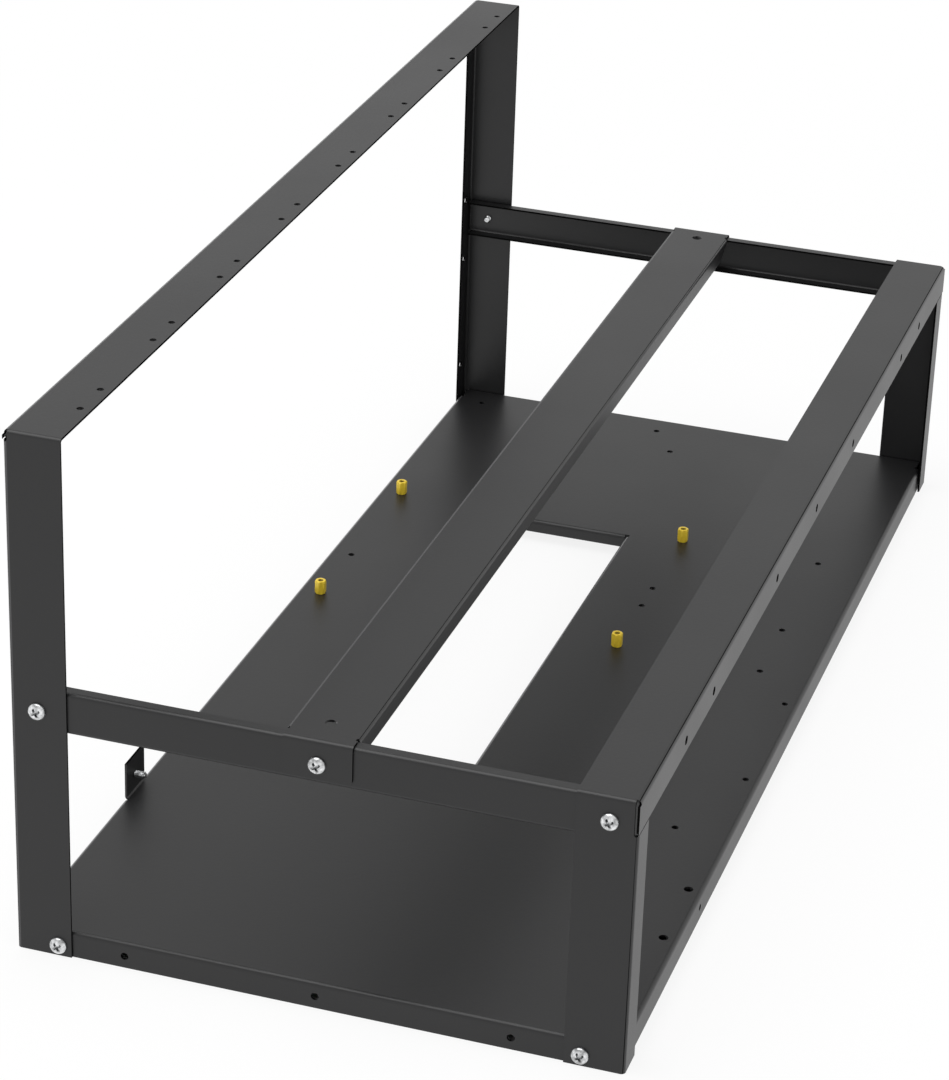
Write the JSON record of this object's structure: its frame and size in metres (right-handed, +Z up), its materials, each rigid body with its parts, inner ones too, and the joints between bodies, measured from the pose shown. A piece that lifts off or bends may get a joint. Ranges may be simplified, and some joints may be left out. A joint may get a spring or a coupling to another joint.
{
  "type": "gpu mining rig frame",
  "caption": "Open folded-steel frame: a tray for a mainboard and power supply, a tall rear beam for graphics-card brackets, a low front beam and a crossbar that carries the cards.",
  "frame": {"origin": "on the floor, in the middle of the length and the depth", "axes": "+X along the length, +Y towards the tall rear side, +Z up"},
  "size_m": [0.6078, 0.268, 0.241],
  "materials": {
    "powder_coat": "matte black powder coat",
    "zinc": "bright zinc plate",
    "brass": "turned brass"
  },
  "bodies": {
    "root": {"base_tray": "powder_coat", "rear_frame": "powder_coat", "front_frame": "powder_coat", "side_rail_left": "powder_coat", "side_rail_right": "powder_coat", "crossbar": "powder_coat", "standoff_1": "brass", "standoff_2": "brass", "standoff_3": "brass", "standoff_4": "brass", "screw_left_rear_top": "zinc", "screw_left_crossbar": "zinc", "screw_left_front_top": "zinc", "screw_left_rear_foot": "zinc", "screw_left_front_foot": "zinc", "screw_right_rear_top": "zinc", "screw_right_crossbar": "zinc", "screw_right_front_top": "zinc", "screw_right_rear_foot": "zinc", "screw_right_front_foot": "zinc", "psu_screw": "zinc"}
  },
  "joints": []
}
